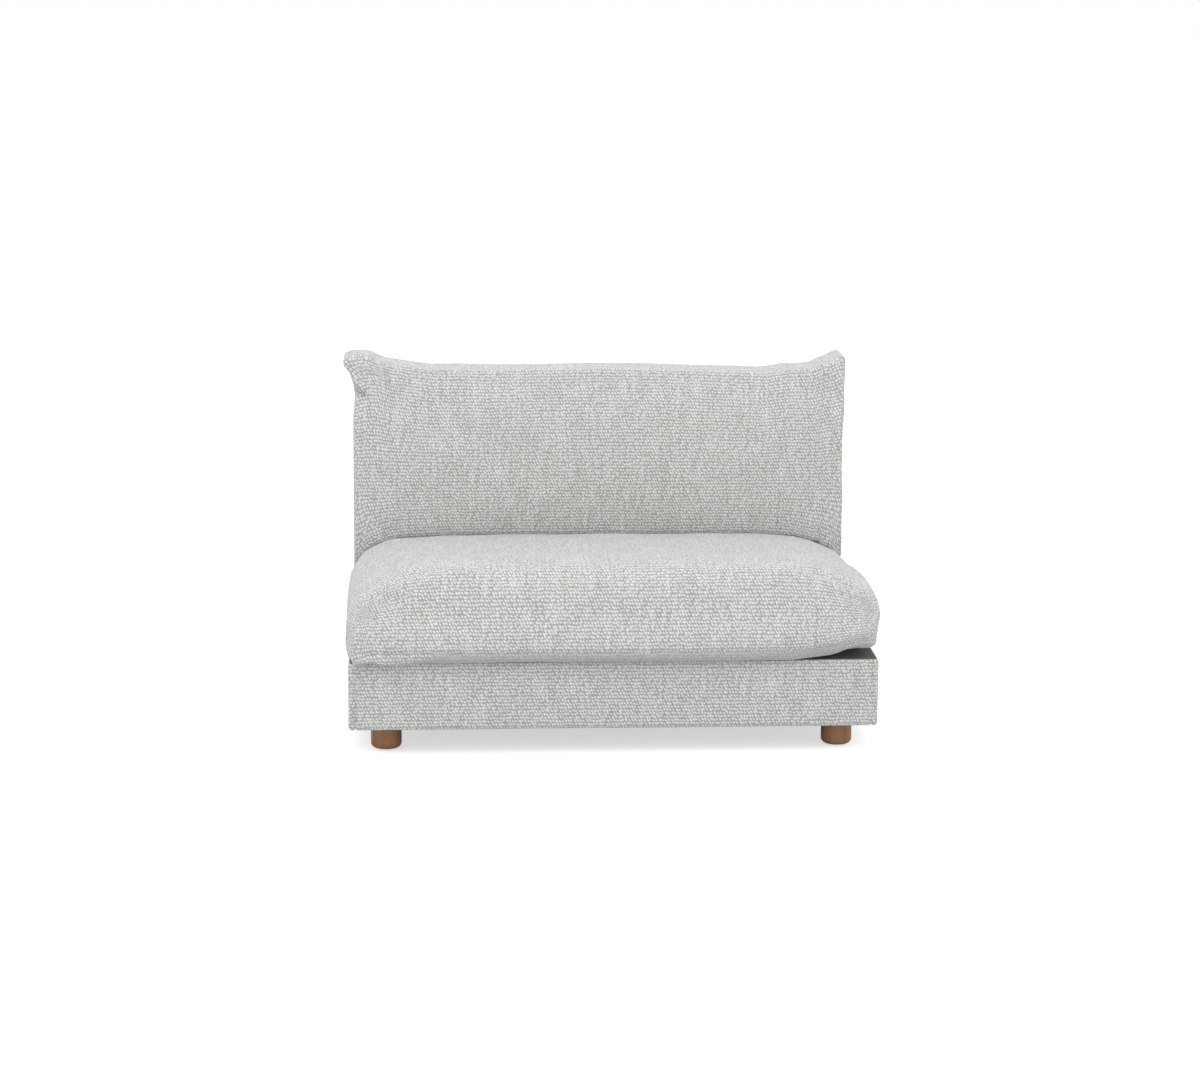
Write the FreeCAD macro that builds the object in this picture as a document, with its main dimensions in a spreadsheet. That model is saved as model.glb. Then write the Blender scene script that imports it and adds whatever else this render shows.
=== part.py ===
import FreeCAD, Part
import math
import os
import re
import Sketcher
from FreeCAD import Placement, Rotation, Vector

# Armless sofa module, in millimetres. +Z is up, the front faces -Y and +X is to the right as
# seen from the front. The origin is on the floor, under the middle of the module.
# An upholstered base on four turned feet carries an upholstered back, a loose seat cushion
# and a loose back cushion. The frame is boards and plywood, with interlaced elastic webbing.

os.makedirs("parts", exist_ok=True)
doc = FreeCAD.newDocument("SofaModule")

# Driving dimensions

SIZES = {
    # whole module
    "module_width": 1300,
    "base_depth": 940,
    "base_height": 170,
    "foot_height": 66,
    "overhang": 20,
    # upholstery layers of the base and the back
    "cover_thick": 3,
    "wadding": 10,
    "turn_width": 30,
    "seam_inset": 15,
    "edge_round": 6,
    "deck_thick": 3,
    "dust_thick": 1,
    "dust_lap": 6,
    "back_foam": 20,
    "back_panel": 3,
    # frame boards
    "rail_thick": 25,
    "tack_thick": 20,
    "tack_height": 50,
    "centre_rail_height": 121,
    "gusset_thick": 18,
    "gusset_length": 200,
    "gusset_cut": 30,
    "gusset_drop": 6,
    "foot_plate": 100,
    "foot_plate_cut": 45,
    # back above the base
    "back_depth": 150,
    "back_height": 464,
    "back_set": 65,
    # webbing
    "strap_width": 60,
    "strap_thick": 2,
    "strap_ramp": 18,
    "strap_end": 4,
    "seat_lengthwise_count": 9,
    "seat_crosswise_count": 5,
    "back_lengthwise_count": 6,
    "back_crosswise_count": 3,
    # feet and their fastening
    "foot_radius": 38,
    "foot_round": 14,
    "foot_side_inset": 90,
    "foot_front_inset": 81,
    "glide_radius": 13,
    "glide_thick": 3,
    "bolt_radius": 4,
    "bolt_slip": 0.2,
    "bolt_in_foot": 32,
    "bolt_end_gap": 0.6,
    "insert_radius": 6,
    "insert_length": 15,
    "joining_bore": 4,
    "joining_side": 30,
    "joining_along": 39,
    # seat cushion
    "seat_width": 1312,
    "seat_gap": 2,
    "rest_gap": 0.3,
    "seat_rear_height": 168,
    "seat_edge_height": 192,
    "seat_crown": 24,
    "seat_sit_depth": 600,
    "seat_front_roll": 76,
    "seat_front_belly": 92,
    "seat_under_roll": 34,
    "seat_dip": 56,
    "seat_side_roll": 60,
    "seat_corner": 62,
    "seat_core_margin": 76,
    "seat_core_behind": 26,
    "seat_core_under": 22,
    "seat_core_over": 22,
    # back cushion
    "back_cushion_width": 1296,
    "back_cushion_height": 464,
    "back_cushion_thick": 186,
    "back_cushion_crown": 30,
    "back_cushion_under": 48,
    "back_cushion_roll": 46,
    "ear_rise": 32,
    "ear_reach": 9,
    "ear_round": 16,
    "back_draw_in": 6,
    "back_core_margin": 34,
    # one overrun for every cutting tool
    "overrun": 20,
}

sheet = doc.addObject("Spreadsheet::Sheet", "Sizes")
for row, (alias, number) in enumerate(SIZES.items(), start=1):
    sheet.set(f"A{row}", alias)
    sheet.set(f"B{row}", str(number))
    sheet.setAlias(f"B{row}", alias)
doc.recompute()

nodes = {}


# Formulas in the names of the sheet

def bound(formula):
    """Points each size name in a formula at its cell of the sheet."""
    return re.sub(r"[a-z]\w*", lambda word: "Sizes." * (word[0] in SIZES) + word[0], formula)


def value(formula):
    """Works out a formula with the sheet's present numbers."""
    return float(sheet.evalExpression(formula))


def bind(item, setting, formula):
    item.setExpression(setting, bound(formula))


# Places that several pieces share

half = "(module_width / 2)"
front = "((overhang - base_depth) / 2)"
rear = "((overhang + base_depth) / 2)"
base_top = "(foot_height + base_height)"
rail_under = "(foot_height + cover_thick)"
deck_top = f"({base_top} - cover_thick)"
rail_top = f"({deck_top} - deck_thick - 2 * strap_thick)"
frame_half = f"({half} - cover_thick - wadding)"
frame_front = f"({front} + cover_thick + wadding)"
frame_rear = f"({rear} - cover_thick - wadding)"
inner_half = f"({frame_half} - rail_thick)"
inner_front = f"({frame_front} + rail_thick)"
inner_rear = f"({frame_rear} - rail_thick)"
back_front = f"({rear} - back_depth)"
back_top = f"({base_top} + back_height)"
frame_top = f"({back_top} - cover_thick - wadding)"
foam_inset = "(cover_thick + back_foam)"
frame_inset = f"({foam_inset} + 2 * strap_thick)"
tack_inset = f"({frame_inset} + tack_thick)"
plate_top = f"({rail_under} + rail_thick)"


def lean(height, inset="0"):
    """How far back the leaning front of the back lies at a height, behind its outer face."""
    return f"({back_front} + ({height} - {base_top}) * back_set / back_height + {inset})"


# Ways of making a piece

def end_near(sketch, edge, spot):
    """Which end of a sketched edge lies at a spot: 1 for its start, 2 for its end."""
    return min((1, 2), key=lambda end: sketch.getPoint(edge, end).distanceToPoint(spot))


def pin(sketch, edge, end, across, up):
    """Ties a sketched point to two formulas."""
    for kind, formula in (("DistanceX", across), ("DistanceY", up)):
        index = sketch.addConstraint(Sketcher.Constraint(kind, -1, 1, edge, end, value(formula)))
        if re.search("[a-z]", formula):
            bind(sketch, f"Constraints[{index}]", formula)


def draw(sketch, points, bends=None):
    """Draws a closed outline; bends gives the point that the arc after a corner passes."""
    bends = bends or {}
    spots = [Vector(value(across), value(up), 0) for across, up in points]
    following = spots[1:] + spots[:1]
    for corner, (here, there) in enumerate(zip(spots, following)):
        if corner in bends:
            across, up = bends[corner]
            sketch.addGeometry(Part.Arc(here, Vector(value(across), value(up), 0), there))
        else:
            sketch.addGeometry(Part.LineSegment(here, there))
    for corner, (spot, (across, up)) in enumerate(zip(spots, points)):
        before = (corner - 1) % len(spots)
        end, start = end_near(sketch, before, spot), end_near(sketch, corner, spot)
        sketch.addConstraint(Sketcher.Constraint("Coincident", before, end, corner, start))
        pin(sketch, corner, start, across, up)
    for corner, (across, up) in bends.items():
        via = sketch.addGeometry(Part.Point(Vector(value(across), value(up), 0)), True)
        pin(sketch, via, 1, across, up)
        sketch.addConstraint(Sketcher.Constraint("PointOnObject", via, 1, corner))


def outline(body, plane, name, points, start="0", bends=None):
    """Sketches an outline on one of a body's own planes, a given way along its normal."""
    sketch = body.newObject("Sketcher::SketchObject", name)
    origin = [part for part in body.Origin.OriginFeatures if part.Role == plane + "_Plane"][0]
    sketch.AttachmentSupport = [(origin, "")]
    sketch.MapMode = "FlatFace"
    bind(sketch, "AttachmentOffset.Base.z", start)
    draw(sketch, points, bends)
    return sketch


def slab(name, plane, points, start, thick, bends=None):
    """A solid of one outline and one thickness."""
    body = doc.addObject("PartDesign::Body", name)
    sketch = outline(body, plane, name + "_outline", points, start, bends)
    pad = body.newObject("PartDesign::Pad", name + "_pad")
    pad.Profile = sketch
    bind(pad, "Length", thick)
    return body


def soften(body, radius, chosen):
    """Rounds the chosen edges of a body's last feature."""
    doc.recompute()
    last = body.Tip
    names = [f"Edge{number}" for number, edge in enumerate(last.Shape.Edges, start=1)
             if chosen(edge)]
    fillet = body.newObject("PartDesign::Fillet", f"{body.Name}_round_{len(body.Group)}")
    fillet.Base = (last, names)
    bind(fillet, "Radius", radius)
    return body


def turned(name, points, bends=None):
    """A solid turned about the upright axis from half its section."""
    body = doc.addObject("PartDesign::Body", name)
    sketch = outline(body, "XZ", name + "_section", points, "0", bends)
    lathe = body.newObject("PartDesign::Revolution", name + "_turn")
    lathe.Profile = sketch
    lathe.ReferenceAxis = (sketch, ["V_Axis"])
    return body


def box(name, across, along, up):
    """A straight board between two places on each axis."""
    board = doc.addObject("Part::Box", name)
    for edge, side, (low, high) in zip(("Length", "Width", "Height"), "xyz", (across, along, up)):
        bind(board, edge, f"({high}) - ({low})")
        bind(board, "Placement.Base." + side, low)
    return board


def rod(name, radius, across, along, low, high):
    """A round bar standing upright between two heights."""
    bar = doc.addObject("Part::Cylinder", name)
    bind(bar, "Radius", radius)
    bind(bar, "Height", f"({high}) - ({low})")
    place(bar, across, along, low)
    return bar


def place(item, across, along, up="0"):
    for side, formula in zip("xyz", (across, along, up)):
        bind(item, "Placement.Base." + side, formula)


def join(kind, name, first, second):
    """A boolean of two solids: kind is Cut or Common."""
    result = doc.addObject("Part::" + kind, name)
    result.Base, result.Tool = first, second
    return result


def group(name, members):
    """Several separate solids kept as one piece of the list."""
    bundle = doc.addObject("Part::Compound", name)
    bundle.Links = members
    return bundle


def node(label, item):
    """Enters a finished piece in the list, under the name of its file."""
    item.Label = label
    nodes[label] = item


def level(edge, height):
    """Whether an edge lies all at one height."""
    return all(round(vertex.Z - height, 3) == 0 for vertex in edge.Vertexes)


SIDES = (("left", "0 - "), ("right", ""))
ENDS = (("front", f"({front} + foot_front_inset)"), ("rear", f"({rear} - foot_front_inset)"))

# Base frame: front, rear and side rails on edge, butted and glued, with a centre rail

node("front_rail", box("front_rail", (f"0 - {frame_half}", frame_half),
                       (frame_front, inner_front), (rail_under, rail_top)))
node("rear_rail", box("rear_rail", (f"0 - {frame_half}", frame_half),
                      (inner_rear, frame_rear), (rail_under, rail_top)))
side_span = {"left": (f"0 - {frame_half}", f"0 - {inner_half}"), "right": (inner_half, frame_half)}
for side, _ in SIDES:
    node(f"side_rail_{side}", box(f"side_rail_{side}", side_span[side],
                                  (inner_front, back_front), (rail_under, rail_top)))

node("centre_rail", box("centre_rail", ("0 - rail_thick / 2", "rail_thick / 2"),
                        (inner_front, inner_rear),
                        (rail_under, f"{rail_under} + centre_rail_height")))
node("seat_rear_rail", box("seat_rear_rail", (f"0 - {inner_half}", inner_half),
                           (lean(base_top, frame_inset), lean(base_top, tack_inset)),
                           (f"{rail_under} + centre_rail_height", rail_top)))

# Back frame: two shaped end posts that pass down to the base, a centre post and two rails

post_outline = [
    (back_front, rail_under), (inner_rear, rail_under), (inner_rear, rail_top),
    (frame_rear, rail_top), (frame_rear, frame_top), (lean(frame_top, frame_inset), frame_top),
    (lean(base_top, frame_inset), base_top), (lean(base_top, frame_inset), rail_top),
    (back_front, rail_top),
]
for side, _ in SIDES:
    low, high = side_span[side]
    node(f"back_post_{side}", slab(f"back_post_{side}", "YZ", post_outline, low, "rail_thick"))

top_rail_under = f"({frame_top} - rail_thick)"
node("back_top_rail", slab("back_top_rail", "YZ", [
    (lean(top_rail_under, frame_inset), top_rail_under), (frame_rear, top_rail_under),
    (frame_rear, frame_top), (lean(frame_top, frame_inset), frame_top),
], f"0 - {inner_half}", f"2 * {inner_half}"))

tack_top = f"({base_top} + tack_height)"
node("back_tack_rail", slab("back_tack_rail", "YZ", [
    (lean(base_top, frame_inset), base_top), (lean(base_top, tack_inset), base_top),
    (lean(tack_top, tack_inset), tack_top), (lean(tack_top, frame_inset), tack_top),
], f"0 - {inner_half}", f"2 * {inner_half}"))

node("back_centre_post", slab("back_centre_post", "YZ", [
    (lean(base_top, tack_inset), rail_top), (frame_rear, rail_top),
    (frame_rear, top_rail_under), (lean(top_rail_under, tack_inset), top_rail_under),
    (lean(base_top, tack_inset), base_top),
], "0 - rail_thick / 2", "rail_thick"))

# Plywood gussets lap the joint of each side rail with its back post, clear of the foot plate

gusset_front = f"({inner_rear} - gusset_length)"
gusset_top = f"({rail_under} + centre_rail_height - gusset_drop)"
for side, sign in SIDES:
    start = f"0 - {inner_half}" if side == "left" else f"{inner_half} - gusset_thick"
    node(f"gusset_{side}", slab(f"gusset_{side}", "YZ", [
        (gusset_front, plate_top), (inner_rear, plate_top), (inner_rear, gusset_top),
        (f"{gusset_front} + gusset_cut", gusset_top),
        (gusset_front, f"{gusset_top} - gusset_cut"),
    ], start, "gusset_thick"))

# Foot plates fill the four corners of the frame, bored for the foot's insert and a joining one

insert_top = f"({rail_under} + insert_length)"
plate_places = {}
for end, foot_y in ENDS:
    inward = "" if end == "front" else "0 - "
    wall = inner_front if end == "front" else inner_rear
    for side, sign in SIDES:
        foot_x = f"{sign}({half} - foot_side_inset)"
        corner_x, corner_y = f"{sign}{inner_half}", wall
        far_x = f"{sign}({inner_half} - foot_plate)"
        cut_x = f"{sign}({inner_half} - foot_plate + foot_plate_cut)"
        far_y = f"({wall} + ({inward}foot_plate))"
        cut_y = f"({wall} + ({inward}(foot_plate - foot_plate_cut)))"
        blank = slab(f"plate_blank_{end}_{side}", "XY", [
            (corner_x, corner_y), (far_x, corner_y), (far_x, cut_y), (cut_x, far_y),
            (corner_x, far_y),
        ], rail_under, "rail_thick")
        join_x = f"{sign}({half} - foot_side_inset + joining_side)"
        join_y = f"({foot_y} + ({inward}joining_along))"
        name = f"{end}_{side}"
        plate_places[name] = (foot_x, foot_y, join_x, join_y)
        holes = [rod(f"{use}_hole_{name}", "insert_radius", across, along,
                     f"{rail_under} - overrun", insert_top)
                 for use, across, along in (("foot", foot_x, foot_y), ("joining", join_x, join_y))]
        node(f"foot_plate_{name}", join("Cut", f"foot_plate_{name}", blank,
                                        group(f"plate_holes_{name}", holes)))

# Feet: turned hardwood with a rounded lower edge, on a bolt that screws into the plate's insert

foot_low = "glide_thick"
bore_low = f"({rail_under} - bolt_in_foot)"
ROUND_STEPS = 2
foot_edge = []
for step in range(ROUND_STEPS + 1):
    turn = math.radians(90 * step / ROUND_STEPS)
    foot_edge.append((f"foot_radius - foot_round * {1 - math.sin(turn):.4f}",
                      f"{foot_low} + foot_round * {1 - math.cos(turn):.4f}"))
foot_section = [("0", foot_low)] + foot_edge + [
    ("foot_radius", rail_under), ("bolt_radius + bolt_slip", rail_under),
    ("bolt_radius + bolt_slip", bore_low), ("0", bore_low),
]


def sleeve(name, bore, across, along):
    """A threaded insert, flush with the underside of the plate that holds it."""
    insert = turned(name, [(bore, rail_under), ("insert_radius", rail_under),
                           ("insert_radius", insert_top), (bore, insert_top)])
    place(insert, across, along)
    return insert


bolts, glides, foot_inserts, joining_inserts = [], [], [], []
for name, (foot_x, foot_y, join_x, join_y) in plate_places.items():
    foot = turned(f"foot_{name}", foot_section)
    place(foot, foot_x, foot_y)
    node(f"foot_{name}", foot)
    bolts.append(rod(f"bolt_{name}", "bolt_radius", foot_x, foot_y,
                     f"{bore_low} + bolt_end_gap", f"{insert_top} - bolt_end_gap"))
    glides.append(rod(f"glide_{name}", "glide_radius", foot_x, foot_y, "0", "glide_thick"))
    foot_inserts.append(sleeve(f"foot_insert_{name}", "bolt_radius + bolt_slip", foot_x, foot_y))
    joining_inserts.append(sleeve(f"joining_insert_{name}", "joining_bore", join_x, join_y))
node("foot_bolts", group("foot_bolts", bolts))
node("foot_glides", group("foot_glides", glides))
node("foot_inserts", group("foot_inserts", foot_inserts))
node("joining_inserts", group("joining_inserts", joining_inserts))

# Webbing: elastic straps laid over and under each other, stapled down at both ends

across_plane = Rotation(Vector(0, 1, 0), Vector(0, 0, 1), Vector(1, 0, 0), "ZXY")
upright_plane = Rotation(Vector(1, 0, 0), Vector(0, 0, 1), Vector(0, -1, 0), "ZXY")
flat_plane = Rotation()


def woven_line(run, start, finish, crossings, phase):
    """The strap's underside as (place along it, height in thicknesses), over every other one."""
    line = [(start, 0)]
    for number, crossing in enumerate(crossings):
        if (number + phase) % 2 == 0:
            low, high = f"{crossing} - strap_width / 2", f"{crossing} + strap_width / 2"
            line += [(f"{low} - strap_ramp", 0), (low, 1), (high, 1), (f"{high} + strap_ramp", 0)]
    line.append((finish, 0))
    return [(run(spot, rise), run(spot, rise + 1)) for spot, rise in line]


def strap_outline(name, turn, lines):
    """The closed edge outline of one strap, on a plane of its own."""
    sketch = doc.addObject("Sketcher::SketchObject", name)
    sketch.Placement = Placement(Vector(0, 0, 0), turn)
    under = [pair[0] for pair in lines]
    over = [pair[1] for pair in reversed(lines)]
    draw(sketch, under + over)
    return sketch


def strap(name, sketch, direction, spot):
    """One strap: its edge outline drawn out to the strap's width."""
    band = doc.addObject("Part::Extrusion", name)
    band.Base = sketch
    band.DirMode = "Custom"
    band.Dir = direction
    band.Solid = True
    bind(band, "LengthFwd", "strap_width")
    place(band, *spot)
    return band


def shared_out(low, high, number, count):
    """The middle of one of count equal shares of a span."""
    return f"({low} + ({number} + 0.5) * ({high} - {low}) / {count})"


def webbing(name, run, turn, ends, crossings, direction, spots, first=0):
    """A set of like straps, every other one woven the other way round."""
    drawn = [strap_outline(f"{name}_edge_{phase}", turn,
                           woven_line(run, *ends, crossings, phase)) for phase in (0, 1)]
    return group(name, [strap(f"{name}_{number}", drawn[(number + first) % 2], direction, spot)
                        for number, spot in enumerate(spots)])


long_places = [shared_out(f"(0 - {inner_half})", inner_half, number, "seat_lengthwise_count")
               for number in range(int(value("seat_lengthwise_count")))]
cross_places = [shared_out(inner_front, back_front, number, "seat_crosswise_count")
                for number in range(int(value("seat_crosswise_count")))]


def seat_run(spot, rise):
    return spot, f"{rail_top} + {rise} * strap_thick"


node("seat_webbing_long", webbing(
    "seat_webbing_long", seat_run, across_plane,
    (f"{frame_front} + strap_end", f"{lean(base_top, tack_inset)} - strap_end"), cross_places,
    Vector(1, 0, 0), [(f"{spot} - strap_width / 2", "0") for spot in long_places]))
node("seat_webbing_cross", webbing(
    "seat_webbing_cross", seat_run, upright_plane,
    (f"strap_end - {frame_half}", f"{frame_half} - strap_end"), long_places,
    Vector(0, -1, 0), [("0", f"{spot} + strap_width / 2") for spot in cross_places], first=1))

up_places = [shared_out(f"(0 - {inner_half})", inner_half, number, "back_lengthwise_count")
             for number in range(int(value("back_lengthwise_count")))]
level_places = [shared_out(tack_top, top_rail_under, number, "back_crosswise_count")
                for number in range(int(value("back_crosswise_count")))]
up_the_back = Vector(0, value("back_set"), value("back_height")).normalize()


def back_run(spot, rise):
    return lean(spot, f"({frame_inset} - {rise} * strap_thick)"), spot


def back_cross_run(spot, rise):
    return spot, f"0 - {rise} * strap_thick"


node("back_webbing_long", webbing(
    "back_webbing_long", back_run, across_plane,
    (f"{base_top} + strap_end", f"{frame_top} - strap_end"), level_places,
    Vector(1, 0, 0), [(f"{spot} - strap_width / 2", "0") for spot in up_places]))
strap_feet = [f"({spot} - strap_width / 2)" for spot in level_places]
node("back_webbing_cross", webbing(
    "back_webbing_cross", back_cross_run, flat_plane,
    (f"strap_end - {frame_half}", f"{frame_half} - strap_end"), up_places,
    up_the_back, [("0", lean(foot, frame_inset), foot) for foot in strap_feet], first=1))

# Upholstery of the base: wadding round the rails, then a cover turned over and under them

lining_half = f"({half} - cover_thick)"
lining_front, lining_rear = f"({front} + cover_thick)", f"({rear} - cover_thick)"
upright = (rail_under, deck_top)
wide = (f"0 - {lining_half}", lining_half)
node("base_wadding_front", box("base_wadding_front", wide, (lining_front, frame_front), upright))
node("base_wadding_rear", box("base_wadding_rear", wide, (frame_rear, lining_rear), upright))
for side, across in (("left", (f"0 - {lining_half}", f"0 - {frame_half}")),
                     ("right", (frame_half, lining_half))):
    node(f"base_wadding_{side}", box(f"base_wadding_{side}", across, (frame_front, frame_rear),
                                     upright))

base_form = slab("base_form", "XY", [(f"0 - {half}", front), (half, front), (half, rear),
                                     (f"0 - {half}", rear)], "foot_height", "base_height")
soften(base_form, "edge_round", lambda edge: not level(edge, value("foot_height")))
turned_in = ((f"turn_width - {half}", f"{half} - turn_width"),
             (f"{front} + turn_width", f"{rear} - turn_width"))
base_skin = join("Cut", "base_skin", base_form, group("base_hollow", [
    box("base_lining", wide, (lining_front, lining_rear), upright),
    box("cover_windows", *turned_in, ("foot_height - overrun", f"{base_top} + overrun")),
    box("back_well", (f"0 - {frame_half}", frame_half), (back_front, frame_rear),
        (rail_top, f"{base_top} + overrun")),
]))

seam_half = f"({half} - seam_inset)"
middle = (f"0 - {seam_half}", seam_half)
tall = ("0 - overrun", f"{back_top} + overrun")
outside = f"({half} + overrun)"
whole_depth = (f"{front} - overrun", f"{rear} + overrun")
base_panels = {
    "front": (middle, (f"{front} - overrun", f"{front} + turn_width + overrun")),
    "rear": (middle, (f"{rear} - turn_width - overrun", f"{rear} + overrun")),
    "left": ((f"0 - {outside}", f"0 - {seam_half}"), whole_depth),
    "right": ((seam_half, outside), whole_depth),
}
for panel, (across, along) in base_panels.items():
    node(f"base_cover_{panel}", join("Common", f"base_cover_{panel}", base_skin, box(
        f"base_{panel}_space", across, along, tall)))

# Seat deck over the webbing, and the dust cloth stapled under the rails, cut back at the feet

node("seat_deck", box("seat_deck", (f"0 - {frame_half}", frame_half), (frame_front, back_front),
                      (f"{deck_top} - deck_thick", deck_top)))
cloth_half, cloth_front, cloth_rear = (f"({half} - turn_width)", f"({front} + turn_width)",
                                       f"({rear} - turn_width)")
notch_half = f"({inner_half} - foot_plate + dust_lap)"
notch_front = f"({inner_front} + foot_plate - dust_lap)"
notch_rear = f"({inner_rear} - foot_plate + dust_lap)"
node("dust_cover", slab("dust_cover", "XY", [
    (f"0 - {notch_half}", cloth_front), (notch_half, cloth_front), (notch_half, notch_front),
    (cloth_half, notch_front), (cloth_half, notch_rear), (notch_half, notch_rear),
    (notch_half, cloth_rear), (f"0 - {notch_half}", cloth_rear),
    (f"0 - {notch_half}", notch_rear), (f"0 - {cloth_half}", notch_rear),
    (f"0 - {cloth_half}", notch_front), (f"0 - {notch_half}", notch_front),
], f"{rail_under} - dust_thick", "dust_thick"))

# Upholstery of the back: foam in front, a board behind, wadding round them, boxed cover panels

lining_top = f"({back_top} - cover_thick)"


def leaning(name, low, high, fore_inset, aft, start, thick):
    """A block between two heights, from the leaning front's inset back to an upright plane."""
    return slab(name, "YZ", [(lean(low, fore_inset), low), (aft, low), (aft, high),
                             (lean(high, fore_inset), high)], start, thick)


node("back_foam", slab("back_foam", "YZ", [
    (lean(base_top, "cover_thick"), base_top), (lean(base_top, foam_inset), base_top),
    (lean(lining_top, foam_inset), lining_top), (lean(lining_top, "cover_thick"), lining_top),
], f"0 - {lining_half}", f"2 * {lining_half}"))
node("back_wadding_top", leaning("back_wadding_top", frame_top, lining_top, foam_inset,
                                 lining_rear, f"0 - {lining_half}", f"2 * {lining_half}"))
for side, start in (("left", f"0 - {lining_half}"), ("right", frame_half)):
    node(f"back_wadding_{side}", leaning(f"back_wadding_{side}", base_top, frame_top, foam_inset,
                                         lining_rear, start, "wadding"))
behind = (f"0 - {frame_half}", frame_half)
board_rear = f"({frame_rear} + back_panel)"
node("back_outer_board", box("back_outer_board", behind, (frame_rear, board_rear),
                             (base_top, frame_top)))
node("back_wadding_rear", box("back_wadding_rear", behind, (board_rear, lining_rear),
                              (base_top, frame_top)))

back_form = leaning("back_form", base_top, back_top, "0", rear, f"0 - {half}", f"2 * {half}")
soften(back_form, "edge_round", lambda edge: not level(edge, value(base_top)))
back_skin = join("Cut", "back_skin", back_form, leaning(
    "back_lining", base_top, lining_top, "cover_thick", lining_rear,
    f"0 - {lining_half}", f"2 * {lining_half}"))
under_seam = ("0", f"{back_top} - seam_inset")
back_panels = {
    "front": (middle, (f"{back_front} - overrun", f"{rear} - seam_inset"), under_seam),
    "top": (middle, whole_depth, (f"{back_top} - seam_inset", f"{back_top} + overrun")),
    "rear": (middle, (f"{rear} - seam_inset", f"{rear} + overrun"), under_seam),
    "left": ((f"0 - {outside}", f"0 - {seam_half}"), whole_depth, tall),
    "right": ((seam_half, outside), whole_depth, tall),
}
for panel, spans in back_panels.items():
    node(f"back_cover_{panel}", join("Common", f"back_cover_{panel}", back_skin, box(
        f"back_{panel}_space", *spans)))

# Loose cushions: a cover with its fibre wrap, lofted through sections, round a cut core


def lofted(name, stations, width, section, bends):
    """A solid through upright sections at shares of its half width, alike on both sides."""
    body = doc.addObject("PartDesign::Body", name)
    places = sorted([(f"0 - {share} * {width} / 2", row) for row, share in enumerate(stations)
                     if share > 0] + [(f"{share} * {width} / 2", row)
                                      for row, share in enumerate(stations)],
                    key=lambda spot: value(spot[0]))
    sketches = [outline(body, "YZ", f"{name}_section_{number}", section(row), spot, bends(row))
                for number, (spot, row) in enumerate(places)]
    loft = body.newObject("PartDesign::AdditiveLoft", name + "_loft")
    loft.Profile = sketches[0]
    loft.Sections = sketches[1:]
    loft.Ruled = True
    return body


# Seat cushion: flat below, bellied front, crowned top that dips under the back cushion

SEAT_STATION_SHARES = (0, 0.62, 0.84, 0.945, 0.985, 1)
SEAT_CROWN_SHARES = (1.2, 1, 0.95, 0.85, 0.8, 0.75)
SEAT_DROP_SHARES = (0, 0, 0.15, 0.62, 1, 1.45)
SEAT_CORNER_SHARES = (0, 0, 0, 0.09, 0.45, 1)
SEAT_UNDER_SHARES = (0, 0, 0, 0, 0.25, 0.9)
DIAGONAL_SHARE = 0.7071

seat_front = f"({front} - overhang)"
seat_rear = f"({back_front} - seat_gap)"
seat_under = f"({base_top} + rest_gap)"
seat_rear_top = f"({base_top} + seat_rear_height)"
sit_back = f"({seat_front} + seat_sit_depth)"


def seat_section(row):
    """Corners of one section, from the foot of the rear wall round to the front hem."""
    drop = f"({SEAT_DROP_SHARES[row]} * seat_side_roll)"
    fore = f"({seat_front} + {SEAT_CORNER_SHARES[row]} * seat_corner)"
    aft = f"({seat_rear} - {SEAT_CORNER_SHARES[row]} * seat_corner)"
    low = f"({seat_under} + {SEAT_UNDER_SHARES[row]} * seat_under_roll)"
    edge = f"({base_top} + seat_edge_height - {drop})"
    crown = f"({SEAT_CROWN_SHARES[row]} * seat_crown)"
    return {
        "corners": [
            (aft, low), (aft, f"{seat_rear_top} - {drop}"),
            (f"{sit_back} + seat_dip", f"{seat_rear_top} - {drop}"),
            (sit_back, f"{edge} + {crown} * 2 / 3"),
            (f"{fore} + seat_front_roll", edge),
            (fore, f"{base_top} + seat_front_belly"),
            (f"{fore} + seat_under_roll", low),
        ],
        "bends": {
            2: (f"{sit_back} + seat_dip * {DIAGONAL_SHARE}",
                f"({edge} + {crown} * 2 / 3) * {DIAGONAL_SHARE}"
                f" + ({seat_rear_top} - {drop}) * (1 - {DIAGONAL_SHARE})"),
            3: (f"({sit_back} + {fore} + seat_front_roll) / 2", f"{edge} + {crown}"),
            4: (f"{fore} + seat_front_roll * (1 - {DIAGONAL_SHARE})",
                f"{edge} * {DIAGONAL_SHARE}"
                f" + ({base_top} + seat_front_belly) * (1 - {DIAGONAL_SHARE})"),
            5: (f"{fore} + seat_under_roll * (1 - {DIAGONAL_SHARE})",
                f"{low} * {DIAGONAL_SHARE}"
                f" + ({base_top} + seat_front_belly) * (1 - {DIAGONAL_SHARE})"),
        },
    }


seat_loft = lofted("seat_loft", SEAT_STATION_SHARES, "seat_width",
                   lambda row: seat_section(row)["corners"], lambda row: seat_section(row)["bends"])


core_side = "(seat_width / 2 - seat_core_margin)"
core_low = f"({base_top} + seat_core_under)"
core_high = f"({seat_rear_top} - seat_core_over)"
core_front = f"({seat_front} + seat_core_margin)"
core_rear = f"({seat_rear} - seat_core_behind)"
node("seat_foam_core", box("seat_foam_core", (f"0 - {core_side}", core_side),
                           (core_front, core_rear), (core_low, core_high)))
node("seat_cushion_cover", join("Cut", "seat_cushion_cover", seat_loft, nodes["seat_foam_core"]))

# Back cushion: boxed, leaning on the back, with a bellied face and two raised upper corners

BACK_STATION_SHARES = (0, 0.7, 0.83, 0.91, 0.965, 1)
BACK_EAR_SHARES = (0, 0.06, 0.27, 0.6, 0.96, 1)
BACK_CROWN_SHARES = (1, 0.82, 0.6, 0.42, 0.25, 0.1)

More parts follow.
